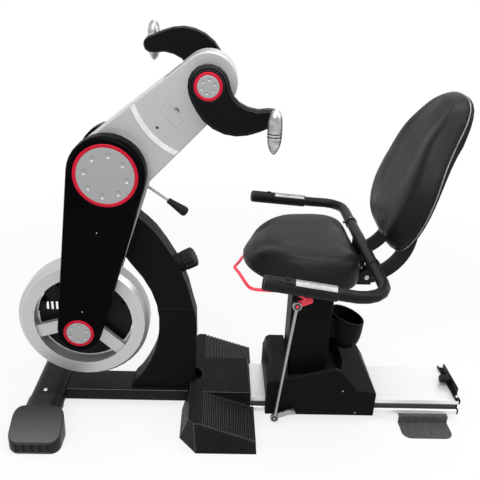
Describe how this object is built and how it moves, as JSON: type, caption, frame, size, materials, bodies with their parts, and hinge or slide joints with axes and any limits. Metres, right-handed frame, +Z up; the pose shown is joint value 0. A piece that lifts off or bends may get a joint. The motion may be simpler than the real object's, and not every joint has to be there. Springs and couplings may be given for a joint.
{
  "type": "arm ergometer",
  "caption": "Upper-body ergometer with hand cranks on a tilting arm, a belt-driven flywheel, a ribbed footrest and a reclining seat that slides on a floor rail.",
  "frame": {"origin": "on the floor, below the middle of the whole machine's length and width", "axes": "+X from the flywheel to the seat, +Y to the side away from the seat's link rod, +Z up"},
  "size_m": [1.3804, 0.7072, 1.1643],
  "materials": {
    "black_paint": "satin",
    "silver_paint": "satin",
    "red_paint": "gloss",
    "black_plastic": "fine texture",
    "grey_plastic": "satin",
    "flywheel_metal": "turned",
    "aluminium": "satin anodised",
    "steel": "brushed",
    "chrome": "polished",
    "rubber": "matt",
    "vinyl": "soft vinyl"
  },
  "bodies": {
    "frame": {"front_cross_tube": "black_paint", "front_foot_cap_near": "grey_plastic", "front_foot_cap_far": "grey_plastic", "floor_beam": "black_paint", "footrest": "black_plastic", "rail": "aluminium", "rail_end_plate": "black_plastic", "rail_stop_strap": "black_paint", "rail_bumper": "rubber", "rear_foot": "black_paint", "post_shell": "black_paint", "post_base_cover": "black_plastic", "mast_frame": "silver_paint", "drive_cover_near": "black_plastic", "drive_cover_far": "black_plastic", "pivot_cap_near": "silver_paint", "pivot_cap_far": "silver_paint", "axle_cap_near": "silver_paint", "axle_cap_far": "silver_paint", "brake_plate": "black_paint", "drive_belt": "rubber"},
    "tilting_arm": {"arm_side_near": "silver_paint", "arm_side_far": "silver_paint", "arm_top_web": "silver_paint", "arm_access_panel": "silver_paint", "arm_belt": "rubber"},
    "drive_shaft": {"jackshaft": "steel"},
    "flywheel": {"flywheel": "flywheel_metal", "flywheel_axle": "steel"},
    "cranks": {"crank_axle": "steel", "crank_arm_near": "black_plastic", "crank_arm_far": "black_plastic", "crank_cap_near": "silver_paint", "crank_cap_far": "silver_paint"},
    "hand_grip_near": {"crank_handle_near": "chrome"},
    "hand_grip_far": {"crank_handle_far": "chrome"},
    "tilt_lock": {"tilt_lock_lever": "black_plastic"},
    "knob": {"resistance_knob": "black_plastic"},
    "carriage": {"carriage_cover": "black_plastic", "carriage_chassis": "steel", "seat_column": "black_paint", "cup_holder": "black_plastic", "seat_pan": "black_plastic", "seat_cushion": "vinyl", "recline_bracket": "black_paint", "handlebar_cross_tube": "black_paint"},
    "release": {"release_lever": "red_paint"},
    "link": {"link_rod": "chrome"},
    "lock": {"lock_arm": "steel"},
    "backrest": {"back_bars": "black_paint", "back_shell": "black_plastic", "back_cushion": "vinyl"},
    "bar_near": {"handlebar_near": "black_paint", "grip_near": "rubber", "sensor_plate_near": "chrome"},
    "bar_far": {"handlebar_far": "black_paint", "grip_far": "rubber", "sensor_plate_far": "chrome"},
    "button_near": {"grip_button_near": "grey_plastic"},
    "button_far": {"grip_button_far": "grey_plastic"}
  },
  "joints": [
    {"name": "arm_tilt", "type": "hinge", "parent": "frame", "child": "tilting_arm", "pos_m": [-0.39515, 0, 0.793], "axis": [0, 1, 0], "range_deg": [-25, 22]},
    {"name": "flywheel_spin", "type": "hinge", "parent": "frame", "child": "flywheel", "pos_m": [-0.49415, 0, 0.311], "axis": [0, 1, 0], "continuous": true},
    {"name": "drive_shaft_spin", "type": "hinge", "parent": "frame", "child": "drive_shaft", "pos_m": [-0.39515, 0, 0.793], "axis": [0, 1, 0], "continuous": true},
    {"name": "crank_spin", "type": "hinge", "parent": "tilting_arm", "child": "cranks", "pos_m": [-0.13163, 0, 1.03532], "axis": [0, 1, 0], "continuous": true},
    {"name": "hand_grip_near_spin", "type": "hinge", "parent": "cranks", "child": "hand_grip_near", "pos_m": [0.03137, -0.19, 0.95332], "axis": [0, 1, 0], "continuous": true},
    {"name": "hand_grip_far_spin", "type": "hinge", "parent": "cranks", "child": "hand_grip_far", "pos_m": [-0.29463, 0.19, 1.11732], "axis": [0, 1, 0], "continuous": true},
    {"name": "tilt_lock_turn", "type": "hinge", "parent": "frame", "child": "tilt_lock", "pos_m": [-0.33315, 0, 0.76], "axis": [0, 1, 0], "range_deg": [-25, 0]},
    {"name": "resistance_turn", "type": "hinge", "parent": "frame", "child": "knob", "pos_m": [-0.17715, 0, 0.516], "axis": [0.8829, 0, 0.4695], "range_deg": [-135, 135]},
    {"name": "seat_slide", "type": "slide", "parent": "frame", "child": "carriage", "axis": [1, 0, 0], "range_m": [-0.02, 0.23]},
    {"name": "release_pull", "type": "hinge", "parent": "carriage", "child": "release", "pos_m": [0.16885, 0, 0.452], "axis": [0, 1, 0], "range_deg": [0, 10], "stiffness_Nm_per_rad": 2, "springref_deg": -34.38},
    {"name": "link_turn", "type": "hinge", "parent": "release", "child": "link", "pos_m": [0.13385, -0.1325, 0.437], "axis": [0, 1, 0], "range_deg": [-12, 2]},
    {"name": "lock_turn", "type": "hinge", "parent": "carriage", "child": "lock", "pos_m": [0.15185, -0.12, 0.056], "axis": [0, 1, 0], "range_deg": [-2, 8]},
    {"name": "recline", "type": "hinge", "parent": "carriage", "child": "backrest", "pos_m": [0.33013, 0, 0.51547], "axis": [0, 1, 0], "range_deg": [-8, 25]},
    {"name": "bar_near_swing", "type": "hinge", "parent": "carriage", "child": "bar_near", "pos_m": [0.32685, -0.15, 0.583], "axis": [0, 1, 0], "range_deg": [0, 80]},
    {"name": "bar_far_swing", "type": "hinge", "parent": "carriage", "child": "bar_far", "pos_m": [0.32685, 0.15, 0.583], "axis": [0, 1, 0], "range_deg": [0, 80]},
    {"name": "button_near_press", "type": "slide", "parent": "bar_near", "child": "button_near", "axis": [-0.0992, 0.0091, -0.995], "range_m": [0, 0.001], "stiffness_N_per_m": 200, "springref_m": -0.0005},
    {"name": "button_far_press", "type": "slide", "parent": "bar_far", "child": "button_far", "axis": [-0.0992, -0.0091, -0.995], "range_m": [0, 0.001], "stiffness_N_per_m": 200, "springref_m": -0.0005}
  ],
  "couplings": [
    {"joint": "drive_shaft_spin", "follows": "flywheel_spin", "ratio": 0.33333},
    {"joint": "crank_spin", "follows": "flywheel_spin", "ratio": 0.16667},
    {"joint": "link_turn", "follows": "release_pull", "ratio": -1},
    {"joint": "lock_turn", "follows": "release_pull", "ratio": 0.63}
  ]
}
